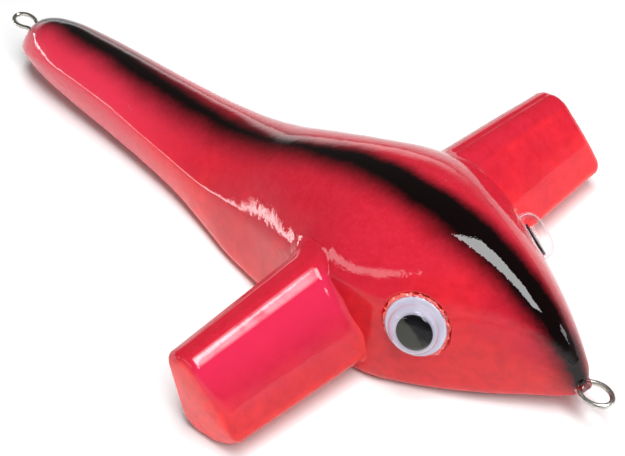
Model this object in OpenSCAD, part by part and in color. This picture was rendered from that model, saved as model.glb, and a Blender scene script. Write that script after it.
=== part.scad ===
// Trolling bird teaser: a carved wooden bird body with two paddle wings,
// loose-pupil eyes and a through-wire with a loop at each end.
// Frame: +X towards the nose, +Y towards the bird's left wing, +Z up.
// The origin is under the middle of the bird, on the plane its flat belly rests on.

/* [Body] */
// Length of the wooden body, nose tip to tail end
body_len = 185; // [180:0.5:191]
// Greatest width of the body, just ahead of the wings' rear edge
body_w = 45; // [43:0.5:48]
// Height of the head's hump above the belly
body_h = 33.5; // [32:0.5:36]

/* [Wings] */
// Span over both wing tips
wing_span = 105; // [90:0.5:110]
// How much shorter each wing is at its front edge than at its back
tip_slant = 1.6; // [0:0.1:3]
// Distance of the wings' middle behind the nose tip
wing_back = 51.5; // [50:0.5:54]
// Depth at which each wing's root is let into the body, from the centre plane
wing_seat_y = 19; // [18:0.25:19.5]
// How much larger the wing section is at the root than at the tip
wing_taper = 1.1; // [1:0.01:1.15]
// Diameter of the hardwood dowels that hold the wings
dowel_d = 5; // [4:0.25:5.5]

/* [Eyes] */
// Diameter of the eye's white backing disc
eye_d = 12; // [11:0.25:12.5]
// Diameter of the loose pupil disc
pupil_d = 7; // [6.5:0.1:7.2]
// Distance of the eye's centre behind the nose tip
eye_back_d = 26.8; // [26:0.1:28]
// Height of the eye's centre above the belly
eye_h = 17; // [15.5:0.1:18]

/* [Wire] */
// Diameter of the stainless wire
wire_d = 1.1; // [0.9:0.05:1.3]
// Centre-line half width of both wire loops
loop_r = 2.35; // [2.1:0.05:2.5]
// How far the nose loop stands out of the nose
nose_out = 6; // [5.6:0.1:8]

/* [Ballast] */
// Diameter of the lead slug in the belly
ballast_d = 12; // [8:0.5:14]
// Height of the lead slug
ballast_h = 4; // [3:0.25:4.25]

/* [Hidden] */

PAINT = [0.90, 0.16, 0.24];
tail_out = 5.1;                         // tail loop past the end of the tail
nose_x = (body_len + tail_out - nose_out) / 2;

// Stations of the carved body. Columns: distance behind the nose, height of the
// back, half width at the shoulder, height of the shoulder, half width near the
// belly, height of the underside.
ST = [
 [  0,   10.2, 1.4,  8.4,  1.2, 6.2],
 [  1.2, 12.1, 2.2,  9.6,  1.8, 5.3],
 [  3,   15.2, 3.3, 11.3,  2.9, 4.4],
 [  6,   19.6, 5.1, 13.2,  4.7, 3.4],
 [ 10,   23.8, 7.3, 15.0,  7.2, 2.5],
 [ 15,   27.4, 9.9, 16.4, 10.3, 1.7],
 [ 21,   30.2, 12.8, 17.6, 13.7, 1.0],
 [ 28,   32.2, 15.9, 19.0, 17.3, 0.4],
 [ 36,   33.3, 18.7, 21.0, 20.6, 0],
 [ 44,   33.5, 20.1, 22.0, 22.1, 0],
 [ 52,   32.8, 20.0, 21.2, 22.1, 0],
 [ 62,   31.0, 18.2, 18.4, 20.5, 0],
 [ 73,   28.0, 16.0, 15.8, 18.7, 0],
 [ 85,   24.0, 14.2, 13.4, 17.0, 0],
 [ 96,   21.4, 12.9, 11.8, 14.6, 0.4],
 [108,   20.1, 11.5, 11.6, 12.3, 1.2],
 [124,   19.5, 10.1, 12.2, 10.5, 1.9],
 [140,   19.2, 9.1, 13.0,  9.3, 2.5],
 [156,   18.9, 8.5, 13.0,  8.4, 3.3],
 [167,   18.4, 7.9, 12.2,  7.6, 4.0],
 [173,   17.2, 7.2, 11.2,  6.8, 4.4],
 [177.6, 15.2, 6.2, 10.0,  5.8, 4.7],
 [181.2, 12.2, 4.9,  8.6,  4.6, 4.9],
 [183.8, 9.2, 3.3,  7.3,  3.1, 5.2],
 [185,   7.0, 1.9,  6.3,  1.8, 5.5]
];
KX = body_len / 185; KY = body_w / 45; KZ = body_h / 33.5;
NST = 46;
roof = 0.59;                            // fullness of the back

function seg(d, i = 0) = (i >= len(ST) - 2 || d < ST[i + 1][0]) ? i : seg(d, i + 1);
function rise(i, c) = (ST[i + 1][c] - ST[i][c]) / (ST[i + 1][0] - ST[i][0]);
function slope(i, c) =
    i == 0 ? rise(0, c) :
    i == len(ST) - 1 ? rise(i - 1, c) :
    let (h0 = ST[i][0] - ST[i - 1][0], h1 = ST[i + 1][0] - ST[i][0])
    (rise(i - 1, c) * h1 + rise(i, c) * h0) / (h0 + h1);
// smooth curve through one column of the stations
function prof(d, c) =
    let (i = seg(d), h = ST[i + 1][0] - ST[i][0], t = (d - ST[i][0]) / h)
    (2*t*t*t - 3*t*t + 1) * ST[i][c] + (t*t*t - 2*t*t + t) * h * slope(i, c)
    + (3*t*t - 2*t*t*t) * ST[i + 1][c] + (t*t*t - t*t) * h * slope(i + 1, c);
function bez(a, b, c, t) = (1-t)*(1-t)*a + 2*t*(1-t)*b + t*t*c;
// half of the cross-section, [y, z] from the back down to the keel line
function half(d) =
    let (zt = prof(d, 1), ws = prof(d, 2), zs = prof(d, 3), wb = prof(d, 4), zb = max(0, prof(d, 5)),
         r = min(3, 0.45 * wb, 0.4 * (zs - zb)), zr = zb + r)
    concat(
      [for (i = [0:7]) bez([0, zt], [roof * ws, zt], [ws, zs], i / 7)],
      [for (i = [1:2]) let (t = i / 3) [ws + (wb - ws) * t + 0.25 * sin(180 * t), zs + (zr - zs) * t]],
      [for (i = [0:3]) bez([wb, zr], [wb, zb], [wb - r, zb], i / 3)],
      [[0, zb]]);
NH = 15;
function at(d, p) = [nose_x - d * KX, p[0] * KY, p[1] * KZ];
// stations bunched at both ends
function station(i) = let (u = i / (NST - 1)) 185 * (u - 0.12 * sin(360 * u) + 0.012 * (1 - cos(360 * u)));
function ring(d) = let (h = half(d))
    concat([for (p = h) at(d, p)], [for (i = [NH - 2:-1:1]) at(d, [-h[i][0], h[i][1]])]);
NR = 2 * NH - 2;
module body_blank() {
    pts = [for (i = [0:NST - 1]) each ring(station(i))];
    polyhedron(points = pts, faces = concat(
        [[for (j = [0:NR - 1]) j]],
        [[for (j = [NR - 1:-1:0]) (NST - 1) * NR + j]],
        [for (i = [0:NST - 2]) for (j = [0:NR - 1]) let (k = (j + 1) % NR, a = i * NR, b = a + NR)
            each [[a + j, b + k, a + k], [a + j, b + j, b + k]]]));
}

// half width of the body at a distance d and height z (both in station units)
function cross_y(h, z, i = 0) =
    i >= len(h) - 2 ? h[i][0] :
    (h[i][1] >= z && h[i + 1][1] < z) ?
        h[i][0] + (h[i + 1][0] - h[i][0]) * (h[i][1] - z) / (h[i][1] - h[i + 1][1]) :
    cross_y(h, z, i + 1);
function skin(d, z) = [nose_x - d * KX, cross_y(half(d), z / KZ) * KY, z];

// ---- eyes: a frame whose +Z is the outward normal of the head's side
E0 = skin(eye_back_d, eye_h);
EU = skin(eye_back_d - 3, eye_h) - skin(eye_back_d + 3, eye_h);
EV = skin(eye_back_d, eye_h + 3) - skin(eye_back_d, eye_h - 3);
function unit(v) = v / norm(v);
EQ = unit(cross(EV, EU));               // outward on the left side
eye_turn = -4;                          // the disc faces a little further forward than the skin
eye_lift = 10;                          // and a little further up
ET = [EQ[0] * cos(eye_turn) - EQ[1] * sin(eye_turn), EQ[0] * sin(eye_turn) + EQ[1] * cos(eye_turn), EQ[2]];
EN = unit([ET[0], ET[1], ET[2] + tan(eye_lift)]);
// in the eye's frame +X is the way the loose pupil hangs, down the slope
ED = unit([0, 0, -1] - EN * (-EN[2]));
EW = cross(EN, ED);
eye_sink = 0.9;                         // depth of the flat seat below the skin
eye_t = 1.0;                            // backing disc
dome_r = eye_d / 2 - 1;
dome_wall = 0.45;
dome_h = 3.4;
pupil_t = 0.5;
pupil_off = dome_r - dome_wall - pupil_d / 2 - 0.12;
module eye_frame(side) {
    mirror([0, side < 0 ? 1 : 0, 0])
    multmatrix([[ED[0], EW[0], EN[0], E0[0] - EN[0] * eye_sink],
                [ED[1], EW[1], EN[1], E0[1] - EN[1] * eye_sink],
                [ED[2], EW[2], EN[2], E0[2] - EN[2] * eye_sink],
                [0, 0, 0, 1]]) children();
}

// ---- wings: the section of the paddle, [x from the wing's middle, z, corner radius]
WS = [[3.6, 22.4, 2.8], [13.2, 5.4, 2.6], [5.6, 0.2, 5.0], [-3.9, 0.2, 4.6], [-3.7, 19.4, 1.8]];
wing_x = nose_x - wing_back;
wing_tip = wing_span / 2;
function fillet(p, q, r, n = 4) =       // arc that rounds the corner q[0..1] between p and r
    let (a = unit([p[0], p[1]] - [q[0], q[1]]), b = unit([r[0], r[1]] - [q[0], q[1]]),
         ang = acos(a * b), t = q[2] / tan(ang / 2),
         c = [q[0], q[1]] + unit(a + b) * q[2] / sin(ang / 2),
         s = [q[0], q[1]] + a * t - c, e = [q[0], q[1]] + b * t - c, sw = 180 - ang)
    [for (i = [0:n]) let (f = i / n) c + (s * sin((1 - f) * sw) + e * sin(f * sw)) / sin(sw)];
function wing_section() = let (n = len(WS))
    [for (i = [0:n - 1]) each fillet(WS[(i + n - 1) % n], WS[i], WS[(i + 1) % n])];
WC = [-1, 0.2];                         // the section shrinks towards this point, on the underside
// stations along the wing: [y, size]
function wing_stations() =
    let (k = wing_taper - 1, y0 = wing_seat_y, y1 = wing_tip)
    [[y0, 1 + k], [y1 - 3.4, 1.0], [y1 - 1.8, 0.98], [y1 - 0.6, 0.94], [y1, 0.88]];
// towards the root the chord grows faster than the depth
function grown(p, k) = [WC[0] + (p[0] - WC[0]) * (1 + 1.7 * (k - 1)), WC[1] + (p[1] - WC[1]) * k];
module wing_solid() {                   // the left wing
    sec = wing_section(); n = len(sec); m = [5, 10]; y2 = wing_seat_y + 1;
    pts = [for (s = wing_stations()) for (p = sec)
        let (k = s[1], q = k >= 1 ? grown(p, k) : m + (p - m) * k)
        [wing_x + q[0], s[0] - (s[0] > y2 ? tip_slant * (q[0] + 4) / 18 : 0), max(q[1], 0.2)]];
    k = len(wing_stations());
    polyhedron(points = pts, faces = concat(
        [[for (j = [0:n - 1]) j]],
        [[for (j = [n - 1:-1:0]) (k - 1) * n + j]],
        [for (i = [0:k - 2]) for (j = [0:n - 1]) let (l = (j + 1) % n, a = i * n, b = a + n)
            each [[a + j, b + l, a + l], [a + j, b + j, b + l]]]));
}
DOWELS = [[1.2, 15.5], [4.6, 6.2]];     // dowel axes, x from the wing's middle and height
dowel_in = 9; dowel_out = 31;
module dowel_holes()
    for (p = DOWELS) translate([wing_x + p[0], dowel_in, p[1]]) rotate([-90, 0, 0])
        cylinder(d = dowel_d, h = dowel_out - dowel_in, $fn = 32);
module side(s) mirror([0, s < 0 ? 1 : 0, 0]) children();

// ---- wire: its height rises slightly from nose to tail
wz0 = 6.8 * KZ; wz1 = 12 * KZ;
wire_tilt = atan((wz1 - wz0) / (181 * KX));
function wz(x) = wz0 + (nose_x - x) * tan(wire_tilt);
tail_r = loop_r - 0.15;                 // centre-line half width of the tail loop
leg = 1.25;                             // half spacing of the legs inside the body
xn = nose_x + nose_out - wire_d / 2;    // centre line of the nose loop's end
xt = nose_x - body_len - tail_out + wire_d / 2;
xe = nose_x - 180 * KX;                 // where the tail legs leave the wood
nose_a = 3.4; tail_a = 4.0;              // half lengths of the two oval loops
wn = asin(leg / loop_r); wt = asin(leg / tail_r);
// centre line, [x, y]: short nose leg, nose loop, main run, tail loop, short tail leg
function wire_line() = let (xa = xn - nose_a, xb = xt + tail_a) concat(
    [[nose_x - 26, -leg], [nose_x - 12, -leg], [nose_x - 3, -leg]],
    [for (i = [0:24]) let (a = (180 - wn) * (i / 12 - 1)) [xa + nose_a * cos(a), loop_r * sin(a)]],
    [[nose_x - 3, leg], [nose_x - 12, leg], [nose_x - 60, leg], [nose_x - 120, leg], [xe + 6, leg], [xe, leg]],
    [for (i = [0:24]) let (a = wt + (360 - 2 * wt) * i / 24) [xb + tail_a * cos(a), tail_r * sin(a)]],
    [[xe, -leg], [xe + 6, -leg], [xe + 18, -leg]]);
module through_wire_solid() {
    P = [for (p = wire_line()) [p[0], p[1], wz(p[0])]];
    n = len(P); m = 10;
    T = [for (i = [0:n - 1]) unit(P[min(i + 1, n - 1)] - P[max(i - 1, 0)])];
    up = unit([sin(wire_tilt), 0, cos(wire_tilt)]);
    pts = [for (i = [0:n - 1]) let (s = unit(cross(T[i], up)), v = cross(s, T[i]))
        for (j = [0:m - 1]) P[i] + wire_d / 2 * (cos(360 * j / m) * s + sin(360 * j / m) * v)];
    polyhedron(points = pts, faces = concat(
        [[for (j = [m - 1:-1:0]) j]],
        [[for (j = [0:m - 1]) (n - 1) * m + j]],
        [for (i = [0:n - 2]) for (j = [0:m - 1]) let (l = (j + 1) % m, a = i * m, b = a + m)
            each [[a + j, a + l, b + l], [a + j, b + l, b + j]]]));
}
bore_d = 3.9;
module along_wire(x0, len, d) translate([x0, 0, wz(x0)]) rotate([0, -90 + wire_tilt, 0])
    cylinder(d = d, h = len, $fn = 40);
nose_plug_l = 9; tail_bore_d = 6.6; tail_plug_l = 9;

// ---- ballast in the belly
bx = nose_x - 64 * KX;
plug_h = 2;

// ==== parts ====
module body() color(PAINT) difference() {
    body_blank();
    along_wire(nose_x + 4, body_len + 12, bore_d);
    along_wire(xe + 8, 24, tail_bore_d);
    for (s = [-1, 1]) {
        side(s) wing_solid();
        side(s) dowel_holes();
        eye_frame(s) cylinder(d = eye_d + 1.4, h = 6, $fn = 64);
    }
    translate([bx, 0, -1]) cylinder(d = ballast_d, h = 1 + plug_h + ballast_h, $fn = 48);
}
module wing(s) color(PAINT) side(s) difference() { wing_solid(); dowel_holes(); }
module wing_dowels(s) color([0.80, 0.66, 0.46]) side(s) dowel_holes();
// bead of epoxy that runs round the root of the wing, against the body's side
module wing_epoxy(s) color([0.85, 0.20, 0.24]) side(s) difference() {
    intersection() {
        translate([0, wing_seat_y + 1, 0]) rotate([90, 0, 0]) mirror([0, 0, 1]) linear_extrude(3.4)
            translate([wing_x, 0]) offset(r = 1.3) polygon([for (p = wing_section()) grown(p, 1 + 0.92 * (wing_taper - 1))]);
        translate([wing_x - 40, 0, 0.2]) cube([80, 40, 40]);
    }
    wing_solid();
    body_blank();
}
module through_wire() color([0.75, 0.75, 0.72]) through_wire_solid();
module nose_epoxy() color([0.35, 0.08, 0.10]) difference() {
    intersection() { along_wire(nose_x + 3, nose_plug_l + 3, bore_d); body_blank(); }
    through_wire_solid();
}
module tail_epoxy() color([0.35, 0.08, 0.10]) difference() {
    intersection() { along_wire(xe + 8, 24, tail_bore_d); body_blank(); }
    through_wire_solid();
}
module ballast() color([0.45, 0.46, 0.48]) translate([bx, 0, plug_h]) cylinder(d = ballast_d, h = ballast_h, $fn = 48);
module ballast_plug() color(PAINT) translate([bx, 0, 0]) cylinder(d = ballast_d, h = plug_h, $fn = 48);
module eye_back(s) color([0.93, 0.92, 0.97]) eye_frame(s) rotate_extrude($fn = 64)
    polygon([[0, 0], [eye_d/2 - 0.15, 0], [eye_d/2, 0.2], [eye_d/2, 0.6], [eye_d/2 - 0.12, 0.86], [eye_d/2 - 0.4, eye_t], [0, eye_t]]);
function dome_out(a) = [dome_r * pow(cos(a), 0.55), eye_t + dome_h * pow(sin(a), 0.85)];
module eye_dome(s) color([0.85, 0.88, 0.95, 0.4]) eye_frame(s) rotate_extrude($fn = 64)
    polygon(concat([for (a = [0:10:90]) dome_out(a)],
        [for (a = [90:-10:0]) let (p = dome_out(a), k = (dome_r - dome_wall) / dome_r)
            [p[0] * k, eye_t + (p[1] - eye_t) * (1 - dome_wall / dome_h)]]));
module eye_pupil(s) color([0.05, 0.05, 0.06]) eye_frame(s)
    translate([pupil_off, 0, eye_t + 0.15]) cylinder(d = pupil_d, h = pupil_t, $fn = 48);
// adhesive: a ring squeezed out round the backing disc, and the bed under its proud side
module eye_glue(s) color([0.80, 0.25, 0.22]) {
    eye_frame(s) rotate_extrude($fn = 64)
        polygon([[eye_d/2 - 0.15, 0], [eye_d/2, 0.2], [eye_d/2, 0.5], [eye_d/2 + 0.3, 0.45], [eye_d/2 + 0.7, 0.05], [eye_d/2 + 0.7, 0]]);
    difference() {
        eye_frame(s) translate([0, 0, -3]) cylinder(r1 = eye_d/2 + 1.2, r2 = eye_d/2 + 0.6, h = 3, $fn = 64);
        body_blank();
    }
}

body();
wing(-1);  // wing_right
wing(1);  // wing_left
wing_dowels(-1);  // wing_dowels_right
wing_dowels(1);  // wing_dowels_left
wing_epoxy(-1);  // wing_epoxy_right
wing_epoxy(1);  // wing_epoxy_left
through_wire();
nose_epoxy();
tail_epoxy();
ballast();
ballast_plug();
eye_back(-1);  // eye_back_right
eye_dome(-1);  // eye_dome_right
eye_pupil(-1);  // eye_pupil_right
eye_glue(-1);  // eye_glue_right
eye_back(1);  // eye_back_left
eye_dome(1);  // eye_dome_left
eye_pupil(1);  // eye_pupil_left
eye_glue(1);  // eye_glue_left
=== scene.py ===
import math
import bmesh
import bpy
from mathutils import Matrix, Vector, noise
from mathutils.bvhtree import BVHTree


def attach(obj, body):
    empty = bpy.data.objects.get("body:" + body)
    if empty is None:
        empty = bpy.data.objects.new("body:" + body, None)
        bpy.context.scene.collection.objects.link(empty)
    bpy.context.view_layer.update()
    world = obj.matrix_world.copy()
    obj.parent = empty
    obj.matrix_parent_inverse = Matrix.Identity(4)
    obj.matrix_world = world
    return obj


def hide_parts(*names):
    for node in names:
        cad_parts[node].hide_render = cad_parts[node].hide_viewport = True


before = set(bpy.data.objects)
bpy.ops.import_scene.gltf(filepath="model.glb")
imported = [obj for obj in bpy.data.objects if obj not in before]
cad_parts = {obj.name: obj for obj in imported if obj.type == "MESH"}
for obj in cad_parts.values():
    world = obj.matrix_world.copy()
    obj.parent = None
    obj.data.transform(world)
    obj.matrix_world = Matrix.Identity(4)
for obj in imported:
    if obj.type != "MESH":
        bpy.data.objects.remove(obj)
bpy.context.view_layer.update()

MM = 0.001
scene = bpy.context.scene
scene.view_settings.view_transform = "Standard"
scene.view_settings.look = "None"
scene.view_settings.exposure = 0.0
scene.view_settings.gamma = 1.0

# ------------------------------------------------------------------ helpers
def link(obj):
    scene.collection.objects.link(obj)
    return obj


def mesh_object(name, verts, faces, mat, smooth=True):
    """verts in millimetres"""
    me = bpy.data.meshes.new(name)
    me.from_pydata([(v[0] * MM, v[1] * MM, v[2] * MM) for v in verts], [], faces)
    me.validate()
    bm = bmesh.new()
    bm.from_mesh(me)
    bmesh.ops.remove_doubles(bm, verts=bm.verts, dist=1e-7)
    bmesh.ops.recalc_face_normals(bm, faces=bm.faces)
    bm.to_mesh(me)
    bm.free()
    for p in me.polygons:
        p.use_smooth = smooth
    me.materials.append(mat)
    return link(bpy.data.objects.new(name, me))


def grid_faces(rows, cols, wrap_cols=True, wrap_rows=False):
    f = []
    for i in range(rows if wrap_rows else rows - 1):
        for j in range(cols if wrap_cols else cols - 1):
            a = i * cols + j
            b = i * cols + (j + 1) % cols
            i2 = (i + 1) % rows
            f.append((a, b, i2 * cols + (j + 1) % cols, i2 * cols + j))
    return f


def clamp(x, a=0.0, b=1.0):
    return max(a, min(b, x))


def smooth01(t):
    t = clamp(t)
    return t * t * (3 - 2 * t)


# ------------------------------------------------------------------ the carved body, as in the CAD
NX = 92.05
ST = [
    [0, 10.2, 1.4, 8.4, 1.2, 6.2], [1.2, 12.1, 2.2, 9.6, 1.8, 5.3], [3, 15.2, 3.3, 11.3, 2.9, 4.4],
    [6, 19.6, 5.1, 13.2, 4.7, 3.4], [10, 23.8, 7.3, 15.0, 7.2, 2.5], [15, 27.4, 9.9, 16.4, 10.3, 1.7],
    [21, 30.2, 12.8, 17.6, 13.7, 1.0], [28, 32.2, 15.9, 19.0, 17.3, 0.4], [36, 33.3, 18.7, 21.0, 20.6, 0],
    [44, 33.5, 20.1, 22.0, 22.1, 0], [52, 32.8, 20.0, 21.2, 22.1, 0], [62, 31.0, 18.2, 18.4, 20.5, 0],
    [73, 28.0, 16.0, 15.8, 18.7, 0], [85, 24.0, 14.2, 13.4, 17.0, 0], [96, 21.4, 12.9, 11.8, 14.6, 0.4],
    [108, 20.1, 11.5, 11.6, 12.3, 1.2], [124, 19.5, 10.1, 12.2, 10.5, 1.9], [140, 19.2, 9.1, 13.0, 9.3, 2.5],
    [156, 18.9, 8.5, 13.0, 8.4, 3.3], [167, 18.4, 7.9, 12.2, 7.6, 4.0], [173, 17.2, 7.2, 11.2, 6.8, 4.4],
    [177.6, 15.2, 6.2, 10.0, 5.8, 4.7], [181.2, 12.2, 4.9, 8.6, 4.6, 4.9], [183.8, 9.2, 3.3, 7.3, 3.1, 5.2],
    [185, 7.0, 1.9, 6.3, 1.8, 5.5]]


def prof(d):
    n = len(ST)
    i = 0
    while i < n - 2 and d >= ST[i + 1][0]:
        i += 1
    h = ST[i + 1][0] - ST[i][0]
    t = (d - ST[i][0]) / h

    def rise(i, c):
        return (ST[i + 1][c] - ST[i][c]) / (ST[i + 1][0] - ST[i][0])

    def slope(i, c):
        if i == 0:
            return rise(0, c)
        if i == n - 1:
            return rise(i - 1, c)
        h0, h1 = ST[i][0] - ST[i - 1][0], ST[i + 1][0] - ST[i][0]
        return (rise(i - 1, c) * h1 + rise(i, c) * h0) / (h0 + h1)

    return [(2 * t ** 3 - 3 * t * t + 1) * ST[i][c] + (t ** 3 - 2 * t * t + t) * h * slope(i, c)
            + (3 * t * t - 2 * t ** 3) * ST[i + 1][c] + (t ** 3 - t * t) * h * slope(i + 1, c) for c in range(1, 6)]


def bez(a, b, c, t):
    return (1 - t) ** 2 * a + 2 * t * (1 - t) * b + t * t * c


HALF_N = 72


def one_side(d, roof):
    """half of the cross-section from the back to the keel, evenly spaced, and its length"""
    zt, ws, zs, wb, zb = prof(d)
    zb = max(0.0, zb)
    r = min(3, 0.45 * wb, 0.4 * (zs - zb))
    zr = zb + r
    P = [(bez(0, roof * ws, ws, k / 30), bez(zt, zt, zs, k / 30)) for k in range(30)]
    P += [(ws + (wb - ws) * k / 10 + 0.25 * math.sin(math.pi * k / 10), zs + (zr - zs) * k / 10) for k in range(10)]
    P += [(bez(wb, wb, wb - r, k / 10), bez(zr, zb, zb, k / 10)) for k in range(10)]
    P += [((wb - r) * (1 - k / 10), zb) for k in range(11)]
    S = [0.0]
    for a, b in zip(P, P[1:]):
        S.append(S[-1] + math.hypot(b[0] - a[0], b[1] - a[1]))
    Q, j = [], 0
    for k in range(HALF_N):
        u = S[-1] * k / (HALF_N - 1)
        while j < len(S) - 2 and S[j + 1] < u:
            j += 1
        t = (u - S[j]) / max(1e-9, S[j + 1] - S[j])
        Q.append((P[j][0] + (P[j + 1][0] - P[j][0]) * t, P[j][1] + (P[j + 1][1] - P[j][1]) * t))
    return Q, S


def half_section(d, soft=1.3):
    """The cross-section, its shoulder creases rounded by the coating; the right shoulder is carved flatter."""
    Q, S = one_side(d, 0.59)
    flat = smooth01((d - 44) / 14) * (1 - smooth01((d - 116) / 22))
    Qr, _ = one_side(d, 0.59 - 0.17 * flat)
    full = Q + [(-y, z) for y, z in Qr[-2:0:-1]]
    step = S[-1] / (HALF_N - 1)
    w = min(soft, S[-1] * 0.035)
    m = max(1, int(round(w / step)))
    ker = [math.cos(math.pi * i / (2 * (m + 1))) ** 2 for i in range(-m, m + 1)]
    tot = sum(ker)
    n = len(full)
    out = []
    for i in range(n):
        y = sum(ker[k] * full[(i + k - m) % n][0] for k in range(2 * m + 1)) / tot
        z = sum(ker[k] * full[(i + k - m) % n][1] for k in range(2 * m + 1)) / tot
        out.append((y, z))
    return out


def body_rings():
    ds = []
    n = 210
    for i in range(n + 1):
        u = i / n
        ds.append(185 * (u - 0.12 * math.sin(2 * math.pi * u) + 0.012 * (1 - math.cos(2 * math.pi * u))))
    rings = []
    for d in ds:
        sec = half_section(d)
        # the two ends are rounded off inside the last millimetre or two
        k = 1.0
        if d < 1.6:
            k = math.sqrt(max(0.0, 1 - ((1.6 - d) / 1.6) ** 2)) * 0.55 + 0.45 * math.sqrt(max(0.0, d / 1.6))
        if d > 183.4:
            q = (185 - d) / 1.6
            k = math.sqrt(max(0.0, 1 - (1 - q) ** 2))
        k = max(k, 0.02)
        cz = sum(p[1] for p in sec) / len(sec)
        ring = [(NX - d, y * k, min(33.5, max(0.05, cz + (z - cz) * k))) for y, z in sec]
        rings.append(ring)
    return rings


# ------------------------------------------------------------------ materials
def new_mat(name):
    m = bpy.data.materials.new(name)
    m.use_nodes = True
    nt = m.node_tree
    bsdf = nt.nodes["Principled BSDF"]
    return m, nt, bsdf


def node(nt, kind, **kw):
    n = nt.nodes.new(kind)
    for k, v in kw.items():
        setattr(n, k, v)
    return n


def math_node(nt, op, a, b=None, c=None, clamp_out=False):
    n = nt.nodes.new("ShaderNodeMath")
    n.operation = op
    n.use_clamp = clamp_out
    for i, v in enumerate((a, b, c)):
        if v is None:
            continue
        if isinstance(v, (int, float)):
            n.inputs[i].default_value = v
        else:
            nt.links.new(v, n.inputs[i])
    return n.outputs[0]


def noise_tex(nt, vec, scale, detail=2.0, rough=0.5, dim="3D", distortion=0.0):
    n = nt.nodes.new("ShaderNodeTexNoise")
    n.noise_dimensions = dim
    n.inputs["Scale"].default_value = scale
    n.inputs["Detail"].default_value = detail
    n.inputs["Roughness"].default_value = rough
    n.inputs["Distortion"].default_value = distortion
    nt.links.new(vec, n.inputs["Vector"])
    return n.outputs["Fac"]


def ramp(nt, fac, stops, interp="LINEAR"):
    n = nt.nodes.new("ShaderNodeValToRGB")
    cr = n.color_ramp
    cr.interpolation = interp
    while len(cr.elements) < len(stops):
        cr.elements.new(0.5)
    for e, (p, c) in zip(cr.elements, stops):
        e.position = p
        e.color = c if len(c) == 4 else (*c, 1)
    nt.links.new(fac, n.inputs["Fac"])
    return n.outputs["Color"]


def mix_rgb(nt, fac, a, b, blend="MIX"):
    n = nt.nodes.new("ShaderNodeMix")
    n.data_type = "RGBA"
    n.blend_type = blend
    for sock, v in ((n.inputs[0], fac), (n.inputs[6], a), (n.inputs[7], b)):
        if isinstance(v, (int, float)):
            sock.default_value = v
        elif isinstance(v, tuple):
            sock.default_value = v if len(v) == 4 else (*v, 1)
        else:
            nt.links.new(v, sock)
    return n.outputs[2]


def map_range(nt, v, a, b, c=0.0, d=1.0, interp="LINEAR"):
    n = nt.nodes.new("ShaderNodeMapRange")
    n.interpolation_type = interp
    nt.links.new(v, n.inputs["Value"])
    for k, x in (("From Min", a), ("From Max", b), ("To Min", c), ("To Max", d)):
        if isinstance(x, (int, float)):
            n.inputs[k].default_value = x
        else:
            nt.links.new(x, n.inputs[k])
    return n.outputs["Result"]


def bump(nt, height, strength, distance, normal=None):
    n = nt.nodes.new("ShaderNodeBump")
    n.inputs["Strength"].default_value = strength
    n.inputs["Distance"].default_value = distance
    nt.links.new(height, n.inputs["Height"])
    if normal is not None:
        nt.links.new(normal, n.inputs["Normal"])
    return n.outputs["Normal"]


# the pink top colour is darkened as painted shade and the orange flank colour brightened as painted light
PINK_TOP_SHADED = (0.50, 0.015, 0.034)
ORANGE_FLANK_LIT = (0.94, 0.024, 0.024)
DEEP = (0.42, 0.004, 0.010)
MAGENTA = (0.62, 0.020, 0.075)
# the tail colour is a painted sheen, brighter and pinker than the paint
TAIL_PAINTED_SHEEN = (0.74, 0.036, 0.078)


def curve_of_x(nt, x, points, lo, hi):
    """a smooth curve of the position along the body, in metres"""
    n = nt.nodes.new("ShaderNodeFloatCurve")
    c = n.mapping.curves[0]
    fx = [((p[0] + 100) / 200, (p[1] - lo) / (hi - lo)) for p in points]
    c.points[0].location = fx[0]
    c.points[1].location = fx[-1]
    for p in fx[1:-1]:
        c.points.new(*p)
    n.mapping.update()
    nt.links.new(map_range(nt, x, -0.1, 0.1), n.inputs["Value"])
    return map_range(nt, n.outputs[0], 0, 1, lo * MM, hi * MM)


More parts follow.
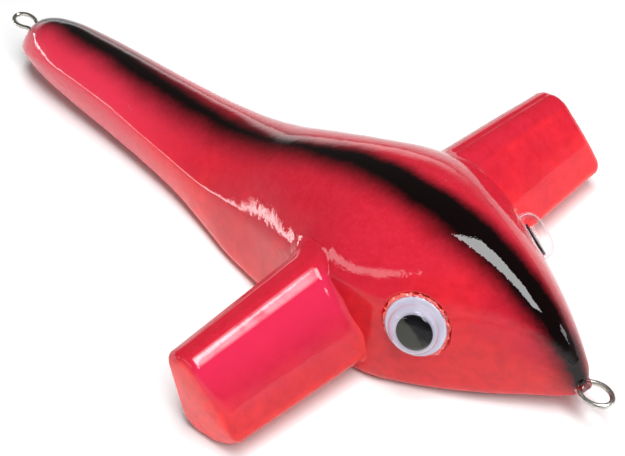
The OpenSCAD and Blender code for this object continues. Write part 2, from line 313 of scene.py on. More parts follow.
def paint_material(name, stripe):
    m, nt, b = new_mat(name)
    tc = nt.nodes.new("ShaderNodeTexCoord")
    P = tc.outputs["Object"]
    sep = nt.nodes.new("ShaderNodeSeparateXYZ")
    nt.links.new(P, sep.inputs[0])
    X, Y, Z = sep.outputs
    geo = nt.nodes.new("ShaderNodeNewGeometry")
    nsep = nt.nodes.new("ShaderNodeSeparateXYZ")
    nt.links.new(geo.outputs["Normal"], nsep.inputs[0])
    # pink above, orange-red on the flanks, with a cloudy airbrushed change between them; partly two-tone paint, partly
    # painted light and shade: the upward-facing top colour is painted darker and the flank colour brighter
    cloud = noise_tex(nt, P, 38, 3, 0.55)
    up = math_node(nt, "ADD", nsep.outputs[2], map_range(nt, cloud, 0.3, 0.7, -0.22, 0.22))
    col = mix_rgb(nt, map_range(nt, up, 0.05, 0.75, 0, 1, "SMOOTHSTEP"), ORANGE_FLANK_LIT, PINK_TOP_SHADED)
    # mottling of the fluorescent coat
    mott = noise_tex(nt, P, 420, 4, 0.62)
    col = mix_rgb(nt, map_range(nt, mott, 0.42, 0.75, 0.0, 0.45), col, DEEP)
    patch = noise_tex(nt, P, 55, 2, 0.5)
    col = mix_rgb(nt, map_range(nt, patch, 0.45, 0.75, 0.0, 0.22), col, DEEP)
    grain = noise_tex(nt, P, 1500, 2, 0.6)
    col = mix_rgb(nt, map_range(nt, grain, 0.52, 0.78, 0.0, 0.34), col, (0.72, 0.022, 0.060))
    if not stripe:
        # the paddles' front faces turn magenta towards their upper edge
        front = math_node(nt, "MULTIPLY", map_range(nt, nsep.outputs[0], 0.2, 0.7), map_range(nt, Y, 0.01, -0.01, 0.2, 1))
        col = mix_rgb(nt, front, col, mix_rgb(nt, 1.0, col, (0.72, 0.9, 0.9), "MULTIPLY"))
        ridge = math_node(nt, "MULTIPLY", map_range(nt, Z, 0.008, 0.021, 0, 0.75, "SMOOTHSTEP"),
                          map_range(nt, nsep.outputs[0], 0.15, 0.6))
        ridge = math_node(nt, "MULTIPLY", ridge, map_range(nt, Y, 0.01, -0.01))
        col = mix_rgb(nt, ridge, col, MAGENTA)
        # a painted highlight: a pale pink band along the right paddle's upper front edge
        ex = math_node(nt, "MULTIPLY", nsep.outputs[0], 0.5)
        ed = math_node(nt, "MULTIPLY_ADD", nsep.outputs[2], 0.866, ex)
        edge = map_range(nt, ed, 0.945, 0.992, 0, 1, "SMOOTHSTEP")
        edge = math_node(nt, "MULTIPLY", edge, map_range(nt, noise_tex(nt, P, 260, 3, 0.6), 0.30, 0.55, 0.25, 0.62))
        edge = math_node(nt, "MULTIPLY", edge, map_range(nt, Y, -0.018, -0.024))
        edge = math_node(nt, "MULTIPLY", edge, map_range(nt, Z, 0.016, 0.019))
        col = mix_rgb(nt, edge, col, (0.86, 0.36, 0.42))
    if stripe:
        # painted shade: the head's downward-facing lower sides are darkened
        head_underside_shade = math_node(nt, "MULTIPLY", map_range(nt, X, 0.020, 0.060, 0, 1, "SMOOTHSTEP"),
                          map_range(nt, nsep.outputs[2], 0.75, 0.25, 0, 1, "SMOOTHSTEP"))
        # painted sheen: the tail is painted brighter and pinker, standing in for a soft reflection of light along it
        col = mix_rgb(nt, map_range(nt, X, 0.004, -0.05, 0, 0.8, "SMOOTHSTEP"), col, TAIL_PAINTED_SHEEN)
        # apply the painted shade under the head
        col = mix_rgb(nt, math_node(nt, "MULTIPLY", head_underside_shade, 0.9), col, mix_rgb(nt, 1.0, col, (0.64, 0.55, 0.8), "MULTIPLY"))
        left = curve_of_x(nt, X, [(-99, -2.4), (-80, -2.7), (-60, -3.1), (-40, -4.5), (-20, -4.9), (0, -5.1),
                                  (20, -4.8), (40, -4.95), (52, -5.8), (65, -5.8), (80, -4.7), (87, -3.4), (92, -2.2)], -8, 8)
        right = curve_of_x(nt, X, [(-99, 5.6), (-80, 5.9), (-55, 6.0), (-40, 4.5), (-30, 3.7), (-10, 2.6), (0, 1.9),
                                   (15, 1.3), (30, 2.4), (42, 3.3), (60, 3.3), (76, 3.2), (84, 2.7), (92, 1.8)], -8, 8)
        soft = curve_of_x(nt, X, [(-99, 4.2), (-55, 4.2), (-40, 3.8), (0, 3.4), (20, 3.0), (32, 2.5), (45, 2.2),
                                  (92, 2.2)], -8, 8)
        softl = curve_of_x(nt, X, [(-99, 3.4), (55, 3.4), (70, 3.0), (80, 2.3), (87, 1.7), (92, 1.2)], -8, 8)
        wob = noise_tex(nt, P, 90, 2, 0.5)
        wob2 = noise_tex(nt, P, 1100, 2, 0.6)
        yy = math_node(nt, "ADD", Y, map_range(nt, wob, 0.3, 0.7, -0.0005, 0.0005))
        yy = math_node(nt, "ADD", yy, map_range(nt, wob2, 0.3, 0.7, -0.0002, 0.0002))
        dl = math_node(nt, "SUBTRACT", yy, left)
        dr = math_node(nt, "SUBTRACT", right, yy)
        ml = map_range(nt, dl, math_node(nt, "MULTIPLY", softl, -1.0), softl, 0, 1, "SMOOTHSTEP")
        mr = map_range(nt, dr, math_node(nt, "MULTIPLY", soft, -1.0), soft, 0, 1, "SMOOTHSTEP")
        mask = math_node(nt, "MULTIPLY", ml, mr)
        mask = math_node(nt, "MULTIPLY", mask, map_range(nt, Z, 0.0045, 0.0085))
        dark = mix_rgb(nt, mask, (1, 1, 1), (0.004, 0.004, 0.003))
        col = mix_rgb(nt, 1.0, col, dark, "MULTIPLY")
    # dust nibs and pinholes in the clear coat
    vor = nt.nodes.new("ShaderNodeTexVoronoi")
    vor.inputs["Scale"].default_value = 130
    nt.links.new(P, vor.inputs["Vector"])
    nib = map_range(nt, vor.outputs["Distance"], 0.035, 0.015)
    pick = map_range(nt, noise_tex(nt, P, 60, 1, 0.5), 0.54, 0.60)
    nib = math_node(nt, "MULTIPLY", nib, pick)
    col = mix_rgb(nt, math_node(nt, "MULTIPLY", nib, 0.8), col, (0.10, 0.012, 0.012))
    nt.links.new(col, b.inputs["Base Color"])
    b.inputs["Roughness"].default_value = 0.45
    b.inputs["Specular IOR Level"].default_value = 0.0
    b.inputs["Coat Weight"].default_value = 0.9
    b.inputs["Coat Roughness"].default_value = 0.03
    b.inputs["Coat IOR"].default_value = 1.42
    # the coat: long sags, orange peel and nibs
    n1 = bump(nt, noise_tex(nt, P, 75, 2, 0.5), 0.5, 0.00022)
    n2 = bump(nt, noise_tex(nt, P, 480, 3, 0.62), 0.6, 0.00006, n1)
    n3 = bump(nt, nib, 0.6, 0.00012, n2)
    nt.links.new(n3, b.inputs["Coat Normal"])
    n4 = bump(nt, noise_tex(nt, P, 75, 2, 0.5), 0.35, 0.0002)
    nt.links.new(n4, b.inputs["Normal"])
    return m


MAT_BODY = paint_material("paint_striped", True)
MAT_WING = paint_material("paint_wing", False)


def simple_material(name, base, dark, rough, scale=300, bump_d=0.00003, metallic=0.0, coat=0.0, stretch=None,
                    rough_var=0.0, spec=0.5):
    m, nt, b = new_mat(name)
    tc = nt.nodes.new("ShaderNodeTexCoord")
    vec = tc.outputs["Object"]
    if stretch:
        mp = nt.nodes.new("ShaderNodeMapping")
        mp.inputs["Scale"].default_value = stretch
        nt.links.new(vec, mp.inputs["Vector"])
        vec = mp.outputs["Vector"]
    f = noise_tex(nt, vec, scale, 4, 0.6)
    nt.links.new(mix_rgb(nt, map_range(nt, f, 0.35, 0.7), base, dark), b.inputs["Base Color"])
    b.inputs["Metallic"].default_value = metallic
    if rough_var:
        nt.links.new(map_range(nt, f, 0.3, 0.7, rough, rough + rough_var), b.inputs["Roughness"])
    else:
        b.inputs["Roughness"].default_value = rough
    b.inputs["Specular IOR Level"].default_value = spec
    b.inputs["Coat Weight"].default_value = coat
    b.inputs["Coat Roughness"].default_value = 0.04
    nt.links.new(bump(nt, f, 0.6, bump_d), b.inputs["Normal"])
    return m


MAT_WIRE = simple_material("stainless_wire", (0.74, 0.72, 0.67), (0.40, 0.38, 0.34), 0.20, 700, 0.00002, 1.0,
                           stretch=(0.25, 1, 1), rough_var=0.14)
MAT_PLUG = simple_material("dark_epoxy", (0.20, 0.020, 0.022), (0.05, 0.008, 0.008), 0.12, 500, 0.00008, coat=1.0)
MAT_GLUE = simple_material("eye_adhesive", (0.80, 0.15, 0.12), (0.55, 0.03, 0.035), 0.20, 900, 0.00018, coat=0.7)
MAT_LEAD = simple_material("lead", (0.30, 0.31, 0.33), (0.18, 0.18, 0.19), 0.55, 400, 0.00006, 1.0, rough_var=0.2)
MAT_DOWEL = simple_material("dowel_wood", (0.66, 0.47, 0.27), (0.46, 0.29, 0.14), 0.6, 500, 0.00004,
                            stretch=(1, 0.08, 1))
MAT_WHITE = simple_material("eye_white", (0.47, 0.45, 0.56), (0.40, 0.38, 0.49), 0.16, 260, 0.00002, coat=0.8)
MAT_PUPIL = simple_material("pupil_black", (0.006, 0.006, 0.007), (0.020, 0.020, 0.017), 0.06, 800, 0.00001)


def paint_pupil_reflection():
    """one half of each pupil is painted a dull olive grey, a painted reflection"""
    nt = MAT_PUPIL.node_tree
    b = nt.nodes["Principled BSDF"]
    tc = nt.nodes.new("ShaderNodeTexCoord")
    sep = nt.nodes.new("ShaderNodeSeparateXYZ")
    nt.links.new(tc.outputs["Object"], sep.inputs[0])
    a = math_node(nt, "MULTIPLY", math_node(nt, "SUBTRACT", sep.outputs[0], 0.0658), 0.505)
    ay = math_node(nt, "ABSOLUTE", sep.outputs[1])
    a = math_node(nt, "ADD", a, math_node(nt, "MULTIPLY", math_node(nt, "SUBTRACT", ay, 0.01666), -0.553))
    a = math_node(nt, "ADD", a, math_node(nt, "MULTIPLY", math_node(nt, "SUBTRACT", sep.outputs[2], 0.01644), 0.662))
    wob = noise_tex(nt, tc.outputs["Object"], 700, 3, 0.6)
    a = math_node(nt, "ADD", a, map_range(nt, wob, 0.3, 0.7, -0.0006, 0.0006))
    m = map_range(nt, a, -0.0004, 0.0007, 0.0, 1.0, "SMOOTHSTEP")
    # the painted reflection goes into the pupil's base colour
    nt.links.new(mix_rgb(nt, m, (0.040, 0.041, 0.034), (0.003, 0.003, 0.004)), b.inputs["Base Color"])
    b.inputs["Specular IOR Level"].default_value = 0.12


paint_pupil_reflection()


def dome_material():
    m, nt, b = new_mat("clear_dome")
    tc = nt.nodes.new("ShaderNodeTexCoord")
    f = noise_tex(nt, tc.outputs["Object"], 320, 2, 0.5)
    nt.links.new(mix_rgb(nt, f, (0.96, 0.95, 1.0), (0.88, 0.87, 0.95)), b.inputs["Base Color"])
    b.inputs["Metallic"].default_value = 1.0
    b.inputs["Roughness"].default_value = 0.03
    lw = nt.nodes.new("ShaderNodeLayerWeight")
    lw.inputs["Blend"].default_value = 0.35
    nt.links.new(map_range(nt, lw.outputs["Facing"], 0.16, 0.80, 0.014, 0.60), b.inputs["Alpha"])
    nt.links.new(bump(nt, f, 0.4, 0.00003), b.inputs["Normal"])
    return m


MAT_DOME = dome_material()

# ------------------------------------------------------------------ body
rings = body_rings()
nring = len(rings[0])
verts = [p for r in rings for p in r]
faces = grid_faces(len(rings), nring)
faces.append(tuple(range(nring)))
faces.append(tuple(range((len(rings) - 1) * nring, len(rings) * nring)))
body = mesh_object("carved_body", verts, faces, MAT_BODY)

E0 = Vector((65.25, 15.6326, 17.0))
EN = Vector((0.443968, 0.824622, 0.350559)).normalized()
ED = Vector((0.166183, 0.308666, -0.936541)).normalized()
EW = EN.cross(ED)
F0 = E0 - EN * 0.9


def cut_seats(obj):
    """a flat seat for each eye's disc, pressed into a locally finer mesh"""
    bm = bmesh.new()
    bm.from_mesh(obj.data)
    for side in (-1, 1):
        c = Vector((F0.x, F0.y * side, F0.z)) * MM
        n = Vector((EN.x, EN.y * side, EN.z))
        for rad in (8.6, 8.0):
            edges = set()
            for f in bm.faces:
                q = f.calc_center_median() - c
                h = q.dot(n)
                if abs(h) < 6 * MM and (q - n * h).length < rad * MM:
                    edges.update(f.edges)
            bmesh.ops.subdivide_edges(bm, edges=list(edges), cuts=1, use_grid_fill=True)
        for v in bm.verts:
            q = v.co - c
            h = q.dot(n)
            r = (q - n * h).length / MM
            if -0.2 * MM < h < 6 * MM and r < 7.4:
                k = 1 - smooth01((r - 6.25) / 0.75)
                v.co = v.co - n * (h + 0.05 * MM) * k
    bmesh.ops.recalc_face_normals(bm, faces=bm.faces)
    bm.to_mesh(obj.data)
    bm.free()
    for p in obj.data.polygons:
        p.use_smooth = True


cut_seats(body)
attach(body, "root")
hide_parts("body")

bvh = BVHTree.FromPolygons([v.co / MM for v in body.data.vertices], [tuple(p.vertices) for p in body.data.polygons])


def hit(origin, direction):
    """first point of the body's skin from origin along direction, millimetres"""
    loc, nor, idx, dist = bvh.ray_cast(Vector(origin), Vector(direction).normalized(), 300.0)
    return loc, nor


# ------------------------------------------------------------------ wings
WS = [(3.6, 22.4, 4.0), (13.2, 5.4, 2.6), (5.6, 0.2, 5.0), (-3.9, 0.2, 4.6), (-3.7, 19.4, 1.8)]
WX = NX - 51.5
WC = (-1.0, 0.2)
TIP = 52.5
SLANT = 1.6
SEAT = 19.0
TAPER = 1.1


def arc_corner(p, q, r, radius, n):
    a = Vector((p[0] - q[0], p[1] - q[1])).normalized()
    b = Vector((r[0] - q[0], r[1] - q[1])).normalized()
    ang = math.acos(a.dot(b))
    t = radius / math.tan(ang / 2)
    c = Vector((q[0], q[1])) + (a + b).normalized() * radius / math.sin(ang / 2)
    s = Vector((q[0], q[1])) + a * t - c
    e = Vector((q[0], q[1])) + b * t - c
    sw = math.pi - ang
    return [c + (s * math.sin((1 - i / n) * sw) + e * math.sin(i / n * sw)) / math.sin(sw) for i in range(n + 1)]


def wing_outline(n_arc=12, n_side=10, bulge=0.28):
    """the paddle's section with slightly crowned sides, [x, z]"""
    n = len(WS)
    arcs = [arc_corner(WS[i - 1], WS[i], WS[(i + 1) % n], WS[i][2], n_arc) for i in range(n)]
    out = []
    for i in range(n):
        out += [tuple(p) for p in arcs[i]]
        a, b = arcs[i][-1], arcs[(i + 1) % n][0]
        d = b - a
        nrm = Vector((-d.y, d.x)).normalized()
        mid = (a + b) / 2 - Vector((5, 10))
        if nrm.dot(mid) < 0:
            nrm = -nrm
        flat = 0.0 if abs(d.y) < 0.3 else bulge      # the underside stays flat
        if i == 0:
            flat = 0.75                              # the front face is crowned most
        for k in range(1, n_side):
            t = k / n_side
            p = a + d * t + nrm * flat * math.sin(math.pi * t)
            out.append(tuple(p))
    return out


OUTLINE = wing_outline()


def grown(p, k):
    return (WC[0] + (p[0] - WC[0]) * (1 + 1.7 * (k - 1)), WC[1] + (p[1] - WC[1]) * k)


def wing_scale(y):
    """taper of the section at the distance y from the centre plane"""
    y1 = TIP - 3.4
    return TAPER + (1.0 - TAPER) * clamp((y - SEAT) / (y1 - SEAT))


def wing_rows():
    rows = []
    ys = [17.5 + (TIP - 3.4 - 17.5) * i / 26 for i in range(27)]
    for y in ys:
        k = wing_scale(y)
        g = [grown(p, k) for p in OUTLINE]
        lean = clamp((y - SEAT - 1) / (TIP - 3.4 - SEAT - 1)) * SLANT / 18
        rows.append([(WX + q[0], y - lean * (q[0] + 4), max(0.2, q[1])) for q in g])
    m = (5.0, 10.0)
    # the tip: a rounded edge, then a slightly crowned end face
    R = 2.3
    for i in range(1, 11):
        a = math.pi / 2 * i / 10
        y = TIP - 3.4 + 1.1 + (2.0) * math.sin(a)
        inset = R * (1 - math.cos(a))
        row = []
        for p in OUTLINE:
            v = Vector((p[0] - m[0], p[1] - m[1]))
            q = v * max(0.0, 1 - inset / v.length)
            row.append((WX + m[0] + q.x, y - SLANT * (m[0] + q.x + 4) / 18, max(0.2, m[1] + q.y)))
        rows.append(row)
    base = rows[-1]
    for s in (0.85, 0.65, 0.42, 0.2, 0.05):
        row = []
        for p in base:
            q = Vector((p[0] - WX - m[0], p[2] - m[1])) * s
            row.append((WX + m[0] + q.x, TIP - 0.3 + 0.28 * (1 - s * s) - SLANT * (m[0] + q.x + 4) / 18, m[1] + q.y))
        rows.append(row)
    return rows


W_ROWS = wing_rows()


def make_wing(name, side, cad):
    # the left paddle's end was cut leaning in at the top
    lean = 2.3 if side > 0 else 0.0
    v = [(p[0], (p[1] - lean * smooth01((p[1] - 36) / 14) * smooth01((p[2] - 5) / 17)) * side, p[2])
         for r in W_ROWS for p in r]
    n = len(OUTLINE)
    f = grid_faces(len(W_ROWS), n)
    f.append(tuple(range(n)))
    f.append(tuple(range((len(W_ROWS) - 1) * n, len(W_ROWS) * n)))
    o = mesh_object(name, v, f, MAT_WING)
    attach(o, "root")
    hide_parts(cad)
    return o


make_wing("wing_paddle_right", -1, "wing_right")
make_wing("wing_paddle_left", 1, "wing_left")


# the bead of epoxy that runs from the wing onto the body
def make_fillet(name, side, cad):
    n = len(OUTLINE)
    cols = []
    for j in range(n):
        a, b, c = OUTLINE[j - 1], OUTLINE[j], OUTLINE[(j + 1) % n]
        tan = Vector((c[0] - a[0], c[1] - a[1])).normalized()
        nrm = Vector((tan.y, -tan.x))
        if nrm.dot(Vector((b[0] - 5, b[1] - 10))) < 0:
            nrm = -nrm
        gk = grown(b, TAPER)
        x, z = WX + gk[0], gk[1]
        under = nrm.y < -0.8 or z < 0.9
        lump = noise.noise(Vector((x * 0.22, z * 0.22, 3.0 * side)))
        high = 0.25 + 0.75 * smooth01((z - 3) / 9)
        off = (1.9 + 1.0 * lump) * (0.15 if under else high)
        up = (2.3 + 1.2 * lump) * (0.4 if under else high)
        # the skin where the wing's outline meets it
        loc, _ = hit((x, 60, max(z, 0.4)), (0, -1, 0))
        yj = loc.y if loc else SEAT
        yj = max(yj, SEAT - 1.0)
        qx, qz = x + nrm.x * off, max(0.12, z + nrm.y * off)
        loc2, _ = hit((qx, 60, max(qz, 0.4)), (0, -1, 0))
        yb = loc2.y if loc2 else yj
        if yj - yb > 5:
            yb = yj - 5
        col = []
        for k in range(9):
            t = k / 8
            k2 = wing_scale(yj + up)
            ga = grown(b, k2)
            A = Vector((WX + ga[0], yj + up, max(0.2, ga[1])))
            J = Vector((x - nrm.x * 0.05, yj - 0.05, max(0.16, z - nrm.y * 0.05)))
            B = Vector((qx, yb - 0.03, qz))
            A -= Vector((nrm.x, 0, nrm.y)) * 0.03
            p = bez(A, J, B, t)
            col.append((p.x, p.y * side, max(0.1, p.z)))
        cols.append(col)
    verts = [p for c in cols for p in c]
    faces = []
    for j in range(n):
        for k in range(8):
            a = j * 9 + k
            b = ((j + 1) % n) * 9 + k
            faces.append((a, b, b + 1, a + 1))
    o = mesh_object(name, verts, faces, MAT_WING)
    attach(o, "root")
    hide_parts(cad)
    return o


make_fillet("wing_root_bead_right", -1, "wing_epoxy_right")
make_fillet("wing_root_bead_left", 1, "wing_epoxy_left")

# ------------------------------------------------------------------ wire
WZ0, WZ1 = 6.8, 12.0
WTAN = (WZ1 - WZ0) / 181.0


def wz(x):
    return WZ0 + (NX - x) * WTAN


def wire_path():
    loop_r, tail_r, leg, wd = 2.35, 2.2, 1.25, 1.1
    nose_a, tail_a = 3.4, 4.0
    xn = NX + 6.0 - wd / 2
    xt = NX - 185 - 5.1 + wd / 2
    xe = NX - 180
    xa, xb = xn - nose_a, xt + tail_a
    wn, wt = math.asin(leg / loop_r), math.asin(leg / tail_r)
    P = [(NX - 26, -leg), (NX - 12, -leg), (NX - 6, -leg), (NX - 4, -leg), (NX - 3, -leg)]
    for i in range(57):
        a = (math.pi - wn) * (i / 28 - 1)
        P.append((xa + nose_a * math.cos(a), loop_r * math.sin(a)))
    P += [(NX - 3, leg), (NX - 4, leg), (NX - 6, leg), (NX - 12, leg), (NX - 60, leg), (NX - 120, leg),
          (xe + 6, leg), (xe + 2, leg), (xe + 1, leg), (xe, leg)]
    for i in range(57):
        a = wt + (2 * math.pi - 2 * wt) * i / 56
        P.append((xb + tail_a * math.cos(a), tail_r * math.sin(a)))
    P += [(xe, -leg), (xe + 1, -leg), (xe + 2, -leg), (xe + 6, -leg), (xe + 18, -leg)]
    for _ in range(3):          # the bends where the legs meet the loops are rounded
        P = [P[0]] + [((a[0] + 2 * b[0] + c[0]) / 4, (a[1] + 2 * b[1] + c[1]) / 4)
                      if math.dist(a, c) < 3 else b for a, b, c in zip(P, P[1:], P[2:])] + [P[-1]]
    return [Vector((x, y, wz(x))) for x, y in P]


def tube(name, path, r, mat, m=20):
    n = len(path)
    up = Vector((WTAN, 0, 1)).normalized()
    verts = []
    for i, p in enumerate(path):
        t = (path[min(i + 1, n - 1)] - path[max(i - 1, 0)]).normalized()
        s = t.cross(up).normalized()
        v = s.cross(t)
        for j in range(m):
            a = 2 * math.pi * j / m
            verts.append(p + (s * math.cos(a) + v * math.sin(a)) * r)
    faces = grid_faces(n, m)
    faces.append(tuple(range(m)))
    faces.append(tuple(range((n - 1) * m, n * m)))
    return mesh_object(name, verts, faces, mat)


wire = tube("leader_wire", wire_path(), 0.548, MAT_WIRE)
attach(wire, "root")
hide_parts("through_wire")


# epoxy that closes the bore round the wire's legs: a shallow pool on the skin
def pool(name, centre, normal, along, ra, rb, height, cad, seed):
    N = Vector(normal).normalized()
    U = Vector(along)
    U = (U - N * U.dot(N)).normalized()
    V = N.cross(U)
    C = Vector(centre)
    verts, rows, cols = [], 9, 48
    for i in range(rows):
        s = i / (rows - 1)
        for j in range(cols):
            a = 2 * math.pi * j / cols
            wob = 1 + 0.16 * noise.noise(Vector((math.cos(a) * 1.3, math.sin(a) * 1.3, seed)))
            q = C + (U * (ra * math.cos(a)) + V * (rb * math.sin(a))) * max(s, 0.01) * wob
            loc, nor = hit(q + N * 12, -N)
            if loc is None or (loc - q).length > 6:
                loc = q - N * 0.6
            h = height * (1 - s ** 2.2) - 0.06 * s
            verts.append(loc + N * h)
    faces = grid_faces(rows, cols)
    faces.append(tuple(range(cols)))
    o = mesh_object(name, verts, faces, MAT_PLUG)
    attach(o, "root")
    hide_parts(cad)
    return o


def blob(name, centre, radii, cad, seed):
    verts, rows, cols = [], 18, 36
    for i in range(rows):
        t = math.pi * (i + 0.5) / rows
        for j in range(cols):
            a = 2 * math.pi * j / cols
            u = Vector((math.cos(t), math.sin(t) * math.cos(a), math.sin(t) * math.sin(a)))
            k = 1 + 0.22 * noise.noise(u * 1.7 + Vector((seed, 0, 0)))
            verts.append((centre[0] + radii[0] * u.x * k, centre[1] + radii[1] * u.y * k, centre[2] + radii[2] * u.z * k))
    faces = grid_faces(rows, cols)
    faces.append(tuple(range(cols)))
    faces.append(tuple(range((rows - 1) * cols, rows * cols)))
    o = mesh_object(name, verts, faces, MAT_PLUG)
    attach(o, "root")
    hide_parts(cad)
    return o


blob("nose_plug", (NX - 0.9, 0, wz(NX) + 0.15), (1.25, 2.0, 1.05), "nose_epoxy", 5.1)
pool("tail_plug", (NX - 181.0, 0, 12.3), (-0.62, 0, 0.78), (0, 1, 0), 3.0, 1.9, 0.30, "tail_epoxy", 9.7)

# ------------------------------------------------------------------ ballast plug in the belly
bx = NX - 64
pv, pf = [], []
for r, z in ((5.99, 0.4), (5.99, 0.09), (5.9, 0.03), (5.6, 0.01), (4, 0.01), (2, 0.01), (0.3, 0.01)):
    for j in range(64):
        a = 2 * math.pi * j / 64
        pv.append((bx + r * math.cos(a), r * math.sin(a), z))
pf = grid_faces(7, 64)
pf.append(tuple(range(64)))
pf.append(tuple(range(6 * 64, 7 * 64)))
plug = mesh_object("belly_plug", pv, pf, MAT_WING)
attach(plug, "root")
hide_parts("ballast_plug")
for nm, mt in (("ballast", MAT_LEAD), ("wing_dowels_right", MAT_DOWEL), ("wing_dowels_left", MAT_DOWEL)):
    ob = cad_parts[nm]
    if not ob.material_slots:
        ob.data.materials.append(mt)
    for s in ob.material_slots:
        s.material = mt

# ------------------------------------------------------------------ eyes

def eye_point(x, y, z, side):
    p = F0 + ED * x + EW * y + EN * z
    return (p.x, p.y * side, p.z)


def lathe(name, profile, side, mat, seg=96, off=(0.0, 0.0), wobble=None, close=True):
    verts = []
    for (r, z) in profile:
        for j in range(seg):
            a = 2 * math.pi * j / seg
            rr, zz = r, z
            if wobble:
                rr, zz = wobble(r, z, a)
            verts.append(eye_point(off[0] + rr * math.cos(a), off[1] + rr * math.sin(a), zz, side))
    faces = grid_faces(len(profile), seg)
    if close:
        faces.append(tuple(range(seg)))
        faces.append(tuple(range((len(profile) - 1) * seg, len(profile) * seg)))
    return mesh_object(name, verts, faces, mat)


EYE_R, EYE_T, DOME_R, DOME_WALL, DOME_H = 6.0, 1.0, 5.0, 0.45, 3.4


def make_eye(side, tag):
    # backing disc with a rolled rim
    prof_back = [(0.2, 0.0), (3.0, 0.0), (5.7, 0.0), (5.88, 0.06), (5.97, 0.2), (6.0, 0.45)]
    for i in range(1, 9):
        a = math.pi / 2 * i / 8
        prof_back.append((5.55 + 0.45 * math.cos(a), 0.52 + 0.48 * math.sin(a)))
    prof_back += [(5.2, 0.97), (5.0, 0.93), (4.6, 0.92), (3.0, 0.92), (1.2, 0.92), (0.05, 0.92)]
    o = lathe("eye_disc_" + tag, prof_back, side, MAT_WHITE)
    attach(o, "root"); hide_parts("eye_back_" + tag)
    # clear dome
    def outer(a):
        return (DOME_R * math.cos(a) ** 0.55, EYE_T + DOME_H * math.sin(a) ** 0.85)
    pr = [(5.22, 0.95), (5.12, 1.0)]
    for i in range(0, 33):
        a = math.pi / 2 * i / 32
        r, z = outer(min(a, math.pi / 2 - 1e-4))
        pr.append((max(r, 0.03), z))
    o = lathe("eye_dome_shell_" + tag, pr, side, MAT_DOME, close=False)
    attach(o, "root"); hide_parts("eye_dome_" + tag)
    # loose pupil
    pr = [(0.05, 1.15), (3.3, 1.15), (3.42, 1.18), (3.5, 1.27), (3.5, 1.52), (3.44, 1.61), (3.3, 1.67), (2.6, 1.74), (2.0, 1.785), (1.3, 1.82),
          (0.6, 1.845), (0.05, 1.85)]
    o = lathe("pupil_disc_" + tag, pr, side, MAT_PUPIL, seg=72, off=(0.93, 0.0),
              wobble=lambda r, z, a: (r, z + (0.05 * r * math.cos(a) if z > 1.4 else 0.0)))
    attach(o, "pupil_" + tag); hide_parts("eye_pupil_" + tag)
    # adhesive squeezed out round the disc: a lumpy strip from the disc's side onto the skin
    seg, rows = 150, 9
    verts = []
    for i in range(rows):
        t = i / (rows - 1)
        for j in range(seg):
            a = 2 * math.pi * j / seg
            n1 = noise.noise(Vector((math.cos(a) * 3.2, math.sin(a) * 3.2, 7.0 + side)))
            n2 = noise.noise(Vector((math.cos(a) * 11, math.sin(a) * 11, 2.0 + side + t * 1.5)))
            reach = 6.55 + 0.45 * n1 + 0.50 * n2
            c, s = math.cos(a), math.sin(a)
            P = F0 + ED * (reach * c) + EW * (reach * s)
            loc, nor = hit(P + EN * 8, -EN)
            if loc is None:
                zsk = -3.0
            else:
                zsk = (loc - F0).dot(EN)
            zsk = clamp(zsk, -3.2, 2.0)
            ztop = max(0.35, min(0.8, zsk + 0.55)) + 0.10 * n2
            r0 = 5.95
            r = r0 + (reach - r0) * t
            bulge = 0.30 * math.sin(math.pi * t) * (1 + 0.9 * n2)
            z = ztop + (zsk - 0.10 - ztop) * t ** 1.15 + bulge
            verts.append(eye_point(r * c, r * s, z, side))
    o = mesh_object("eye_bead_" + tag, verts, grid_faces(rows, seg), MAT_GLUE)
    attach(o, "root"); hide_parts("eye_glue_" + tag)


make_eye(-1, "right")
make_eye(1, "left")

# ------------------------------------------------------------------ floor, light, camera
fm, fnt, fb = new_mat("floor_white")
fb.inputs["Base Color"].default_value = (0.81, 0.81, 0.81, 1)
fb.inputs["Roughness"].default_value = 0.9
fb.inputs["Specular IOR Level"].default_value = 0.1
bpy.ops.mesh.primitive_plane_add(size=8, location=(0, 0, 0))
floor = bpy.context.object
floor.name = "floor"
floor.data.materials.append(fm)

world = bpy.data.worlds.new("studio")
scene.world = world
world.use_nodes = True
wt = world.node_tree
wtc = wt.nodes.new("ShaderNodeTexCoord")
wsep = wt.nodes.new("ShaderNodeSeparateXYZ")
wt.links.new(wtc.outputs["Generated"], wsep.inputs[0])
# a pale wall low down on the far side, dark above it and on the near side
wx = math_node(wt, "MULTIPLY", wsep.outputs[0], -0.866)
wd = math_node(wt, "MULTIPLY_ADD", wsep.outputs[1], 0.5, wx)
far = map_range(wt, wd, 0.80, 0.95, 0.0, 1.0, "SMOOTHSTEP")
low = map_range(wt, wsep.outputs[2], 0.05, 0.24, 1.0, 0.0, "SMOOTHSTEP")
wall = math_node(wt, "MULTIPLY", map_range(wt, far, 0.0, 1.0, 0.28, 1.75), low)
nx = math_node(wt, "MULTIPLY", wsep.outputs[0], 0.57)
nd = math_node(wt, "MULTIPLY_ADD", wsep.outputs[1], -0.82, nx)
near = map_range(wt, nd, 0.2, 0.7, 0.0, 0.85, "SMOOTHSTEP")
near = math_node(wt, "MULTIPLY", near, map_range(wt, wsep.outputs[2], 0.0, 0.20, 1.0, 0.0, "SMOOTHSTEP"))
level = math_node(wt, "ADD", math_node(wt, "ADD", wall, near), 0.12)
wcol = wt.nodes.new("ShaderNodeCombineColor")
for i in range(3):
    wt.links.new(level, wcol.inputs[i])
wcol = wcol.outputs[0]
wt.links.new(wcol, wt.nodes["Background"].inputs["Color"])
wt.nodes["Background"].inputs["Strength"].default_value = 1.0


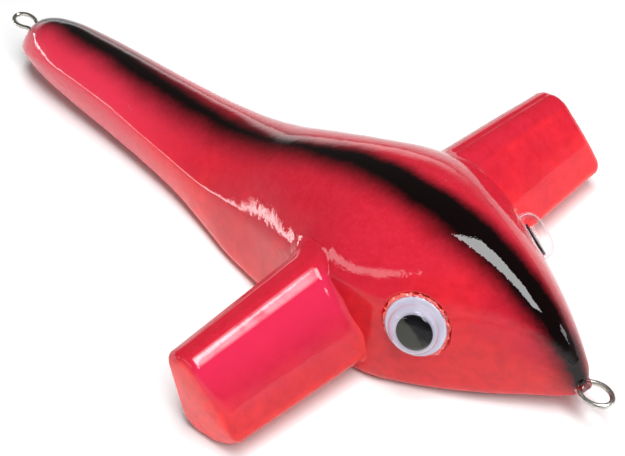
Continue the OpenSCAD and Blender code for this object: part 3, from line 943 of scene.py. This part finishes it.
def area(name, loc, target, sx, sy, radiance, roll=None, color=(1, 1, 1)):
    L = bpy.data.lights.new(name, "AREA")
    L.shape = "RECTANGLE"
    L.size, L.size_y = sx, sy
    L.energy = radiance * math.pi * sx * sy
    L.color = color
    o = link(bpy.data.objects.new(name, L))
    o.location = loc
    z = (Vector(loc) - Vector(target)).normalized()
    x = Vector(roll) if roll else Vector((1, 0, 0))
    x = (x - z * x.dot(z)).normalized()
    y = z.cross(x)
    o.rotation_euler = Matrix((x, y, z)).transposed().to_euler()
    return o


# long strip overhead, whose reflection lies along the head beside the stripe
area("strip_overhead", (0.72, -0.135, 1.0), (0.72, -0.135, 0), 1.50, 0.38, 14, roll=(1, -0.33, 0))
# low bar of light from behind the tail's near side: the line along the shoulder
area("low_side", (-1.14, -0.56, 0.036), (0, 0, 0.02), 0.90, 0.05, 9.0, roll=(0.44, -0.90, 0))
# a higher, broader card on the near side, seen in the head's shoulder and softly along the tail
area("side_card", (-0.40, -0.99, 0.51), (0, 0, 0.02), 1.15, 0.12, 4.6, roll=(0.91, -0.37, 0.16))
# a panel beyond the nose: the glints on the near paddle's front face
area("panel_low", (1.04, 0.52, 0.27), (0.04, -0.03, 0.02), 0.32, 0.14, 6.0, roll=(-0.46, 0.89, 0))

cam = bpy.data.cameras.new("camera")
co = link(bpy.data.objects.new("camera", cam))
AZ, EL, RO = math.radians(55.3213), math.radians(40.5153), math.radians(-10.6619)
bk = Vector((math.sin(AZ) * math.cos(EL), -math.cos(AZ) * math.cos(EL), math.sin(EL)))
rt = Vector((math.cos(AZ), math.sin(AZ), 0))
upv = bk.cross(rt)
r2 = rt * math.cos(RO) + upv * math.sin(RO)
u2 = -rt * math.sin(RO) + upv * math.cos(RO)
co.matrix_world = Matrix.Translation(Vector((214.1587, -136.9785, 208.4865)) * MM) @ Matrix((r2, u2, bk)).transposed().to_4x4()
cam.sensor_width = 36
cam.lens = 1482.2977 * 36 / 625
cam.dof.use_dof = False
cam.clip_start = 0.01
scene.camera = co
